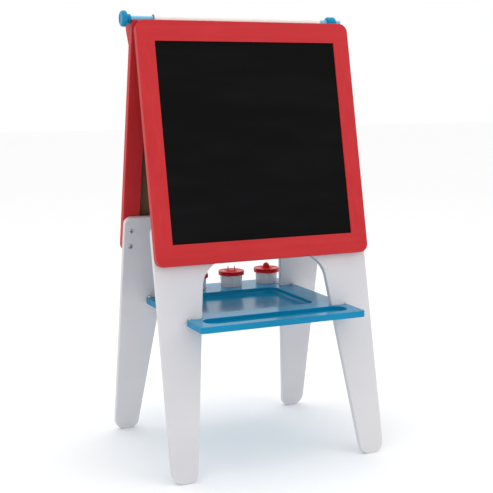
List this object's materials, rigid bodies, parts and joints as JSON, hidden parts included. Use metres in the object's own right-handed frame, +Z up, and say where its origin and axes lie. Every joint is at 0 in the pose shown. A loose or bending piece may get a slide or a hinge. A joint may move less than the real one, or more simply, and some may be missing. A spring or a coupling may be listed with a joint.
{
  "type": "kids easel",
  "caption": "Double-sided children's easel with a chalkboard, a whiteboard, a paper roll on a turned dowel, arched legs and a paint tray with lidded pots.",
  "frame": {"origin": "on the floor, midway between front and rear feet and midway between the knob's end and the boards' opposite side", "axes": "+X along the boards to the right as seen from the chalkboard, +Y from the chalkboard side to the whiteboard side, +Z up"},
  "size_m": [0.6048, 0.507, 1.1202],
  "materials": {
    "red_paint": "satin red paint over fibreboard rails",
    "leg_white": "satin white lacquer over fibreboard",
    "chalkboard": "matt black chalkboard paint on hardboard",
    "whiteboard": "gloss white dry-wipe coating on hardboard",
    "tray_blue": "glossy moulded plastic",
    "knob_blue": "glossy moulded plastic",
    "dowel_blue": "pale blue painted dowel",
    "steel": "zinc plated",
    "painted_steel": "steel screws painted over with the frames",
    "paper": "white drawing paper wound on a roll",
    "card": "plain card tube",
    "cup_plastic": "milky translucent plastic",
    "lid_red": "glossy red plastic"
  },
  "bodies": {
    "front_frame": {"front_top_rail": "red_paint", "front_bottom_rail": "red_paint", "front_left_stile": "red_paint", "front_right_stile": "red_paint", "chalkboard_panel": "chalkboard", "front_leg_panel": "leg_white", "front_leg_bolts": "steel", "front_hinge_screws": "steel", "right_hinge_front_leaf": "steel", "left_hinge_front_leaf": "steel", "right_hinge_pin": "steel", "left_hinge_pin": "steel"},
    "rear_frame": {"rear_top_rail": "red_paint", "rear_bottom_rail": "red_paint", "rear_left_stile": "red_paint", "rear_right_stile": "red_paint", "whiteboard_panel": "whiteboard", "rear_leg_panel": "leg_white", "rear_leg_bolts": "steel", "rear_hinge_screws": "steel", "right_hinge_rear_leaf": "steel", "left_hinge_rear_leaf": "steel", "left_roll_bracket": "red_paint", "right_roll_bracket": "red_paint", "bracket_screws": "painted_steel"},
    "roller": {"turning_knob": "knob_blue", "roll_collar": "knob_blue", "roll_dowel": "dowel_blue", "roll_core": "card", "paper_roll": "paper"},
    "tray": {"tray": "tray_blue", "tray_stops": "steel"},
    "pot_1": {"paint_cup_1": "cup_plastic"},
    "lid_1": {"cup_lid_1": "lid_red"},
    "stopper_1": {"cup_stopper_1": "lid_red"},
    "pot_2": {"paint_cup_2": "cup_plastic"},
    "lid_2": {"cup_lid_2": "lid_red"},
    "stopper_2": {"cup_stopper_2": "lid_red"},
    "pot_3": {"paint_cup_3": "cup_plastic"},
    "lid_3": {"cup_lid_3": "lid_red"},
    "stopper_3": {"cup_stopper_3": "lid_red"},
    "pot_4": {"paint_cup_4": "cup_plastic"},
    "lid_4": {"cup_lid_4": "lid_red"},
    "stopper_4": {"cup_stopper_4": "lid_red"}
  },
  "joints": [
    {"name": "frame_fold", "type": "hinge", "parent": "front_frame", "child": "rear_frame", "pos_m": [0.0124, 0, 1.07009], "axis": [-1, 0, 0], "range_deg": [0, 21]},
    {"name": "roller_spin", "type": "hinge", "parent": "rear_frame", "child": "roller", "pos_m": [0.0124, 0.016, 1.1005], "axis": [1, 0, 0], "continuous": true},
    {"name": "tray_slide", "type": "slide", "parent": "front_frame", "child": "tray", "axis": [0, -0.2096, -0.9778], "range_m": [0, 0.93]},
    {"name": "pot_1_lift", "type": "slide", "parent": "tray", "child": "pot_1", "axis": [0, 0, 1], "range_m": [0, 0.05]},
    {"name": "lid_1_lift", "type": "slide", "parent": "pot_1", "child": "lid_1", "axis": [0, 0, 1], "range_m": [0, 0.03]},
    {"name": "stopper_1_lift", "type": "slide", "parent": "lid_1", "child": "stopper_1", "axis": [0, 0, 1], "range_m": [0, 0.02]},
    {"name": "pot_2_lift", "type": "slide", "parent": "tray", "child": "pot_2", "axis": [0, 0, 1], "range_m": [0, 0.05]},
    {"name": "lid_2_lift", "type": "slide", "parent": "pot_2", "child": "lid_2", "axis": [0, 0, 1], "range_m": [0, 0.03]},
    {"name": "stopper_2_lift", "type": "slide", "parent": "lid_2", "child": "stopper_2", "axis": [0, 0, 1], "range_m": [0, 0.02]},
    {"name": "pot_3_lift", "type": "slide", "parent": "tray", "child": "pot_3", "axis": [0, 0, 1], "range_m": [0, 0.05]},
    {"name": "lid_3_lift", "type": "slide", "parent": "pot_3", "child": "lid_3", "axis": [0, 0, 1], "range_m": [0, 0.03]},
    {"name": "stopper_3_lift", "type": "slide", "parent": "lid_3", "child": "stopper_3", "axis": [0, 0, 1], "range_m": [0, 0.02]},
    {"name": "pot_4_lift", "type": "slide", "parent": "tray", "child": "pot_4", "axis": [0, 0, 1], "range_m": [0, 0.05]},
    {"name": "lid_4_lift", "type": "slide", "parent": "pot_4", "child": "lid_4", "axis": [0, 0, 1], "range_m": [0, 0.03]},
    {"name": "stopper_4_lift", "type": "slide", "parent": "lid_4", "child": "stopper_4", "axis": [0, 0, 1], "range_m": [0, 0.02]}
  ],
  "couplings": [
    {"joint": "tray_slide", "follows": "frame_fold", "m_per_rad": 2.521}
  ]
}
